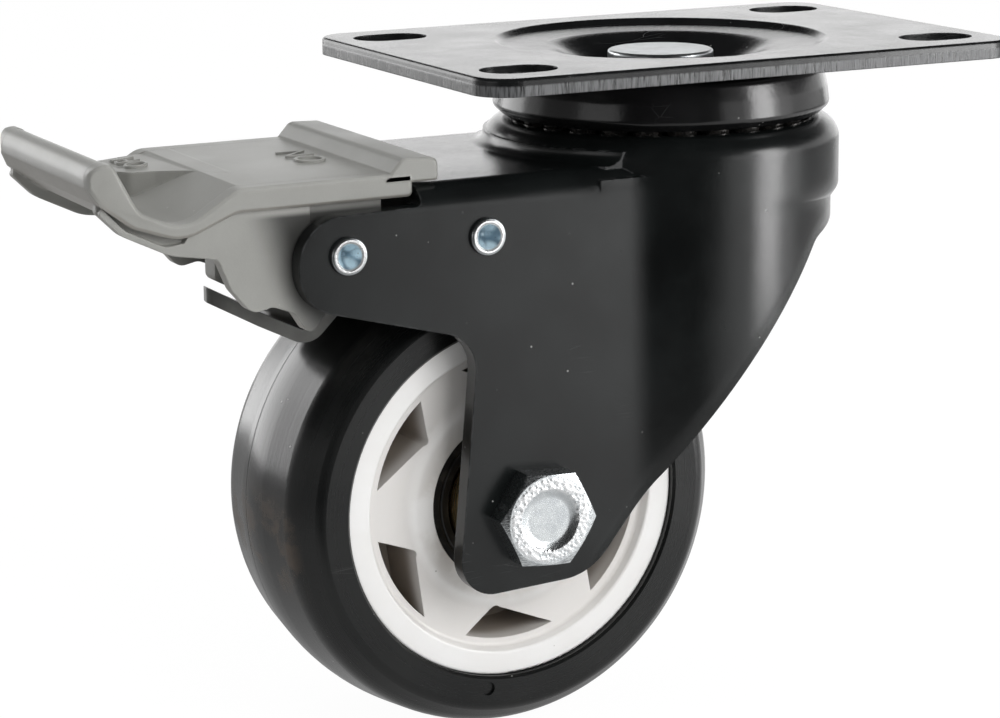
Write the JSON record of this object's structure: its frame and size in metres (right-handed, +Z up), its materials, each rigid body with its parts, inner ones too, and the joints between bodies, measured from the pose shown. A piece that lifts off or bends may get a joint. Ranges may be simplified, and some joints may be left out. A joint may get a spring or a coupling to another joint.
{
  "type": "castor",
  "caption": "Swivel plate castor with a foot-brake pedal, pressed steel fork and tyred wheel",
  "frame": {"origin": "Centre of the four slots, on the mounting plate's top face and the swivel axis", "axes": "+Z up out of the plate, X along the plate's long side with the wheel trailing towards -X, Y along the axle"},
  "size_m": [0.1483, 0.064, 0.1047],
  "materials": {
    "black_plate": "black coated steel, rolled top edge and a lighter sheared edge",
    "black_fork": "black coated pressed steel, satin",
    "black_race": "black steel with a film of grease",
    "zinc": "bright zinc plating with a hammered grain",
    "ball_steel": "hardened balls, darkened by grease",
    "spring_steel": "blued spring steel",
    "brass_cone": "yellow passivated cone",
    "bearing_steel": "ground bearing ring",
    "seal_black": "black seal washer",
    "tyre_grey": "dark grey moulded tyre, satin",
    "core_white": "off-white moulded plastic",
    "pedal_grey": "grey moulded plastic, slightly glossy"
  },
  "bodies": {
    "mount": {"top_plate": "black_plate", "kingpin": "zinc", "upper_race_cup": "black_race", "lower_race_cup": "black_race", "lock_ring": "black_race"},
    "upper_ball_row": {"upper_balls": "ball_steel"},
    "lower_ball_row": {"lower_balls": "ball_steel"},
    "fork": {"fork": "black_fork", "brake_rivets": "zinc", "leaf_sleeve": "zinc", "axle_bolt": "zinc", "axle_nut": "zinc", "axle_sleeve": "zinc", "hub_cones": "brass_cone"},
    "wheel": {"tread": "tyre_grey", "wheel_core": "core_white", "bearing_rings": "bearing_steel", "dust_seals": "seal_black"},
    "pedal": {"brake_pedal": "pedal_grey"},
    "leaf": {"brake_leaf": "spring_steel"}
  },
  "joints": [
    {"name": "swivel", "type": "hinge", "parent": "mount", "child": "fork", "pos_m": [0, 0, 0], "axis": [0, 0, 1], "continuous": true},
    {"name": "upper_ball_orbit", "type": "hinge", "parent": "mount", "child": "upper_ball_row", "pos_m": [0, 0, 0], "axis": [0, 0, 1], "continuous": true},
    {"name": "lower_ball_orbit", "type": "hinge", "parent": "mount", "child": "lower_ball_row", "pos_m": [0, 0, 0], "axis": [0, 0, 1], "continuous": true},
    {"name": "wheel_spin", "type": "hinge", "parent": "fork", "child": "wheel", "pos_m": [-0.0343, 0, -0.0675], "axis": [0, 1, 0], "continuous": true},
    {"name": "pedal_press", "type": "hinge", "parent": "fork", "child": "pedal", "pos_m": [-0.0647, 0, -0.0249], "axis": [0, -1, 0], "range_deg": [0, 22]},
    {"name": "leaf_rock", "type": "hinge", "parent": "fork", "child": "leaf", "pos_m": [-0.0424, 0, -0.0241], "axis": [0, -1, 0], "range_deg": [0, 4.62]}
  ],
  "couplings": [
    {"joint": "upper_ball_orbit", "follows": "swivel", "ratio": 0.5},
    {"joint": "lower_ball_orbit", "follows": "swivel", "ratio": 0.5},
    {"joint": "leaf_rock", "follows": "pedal_press", "ratio": 0.209}
  ]
}
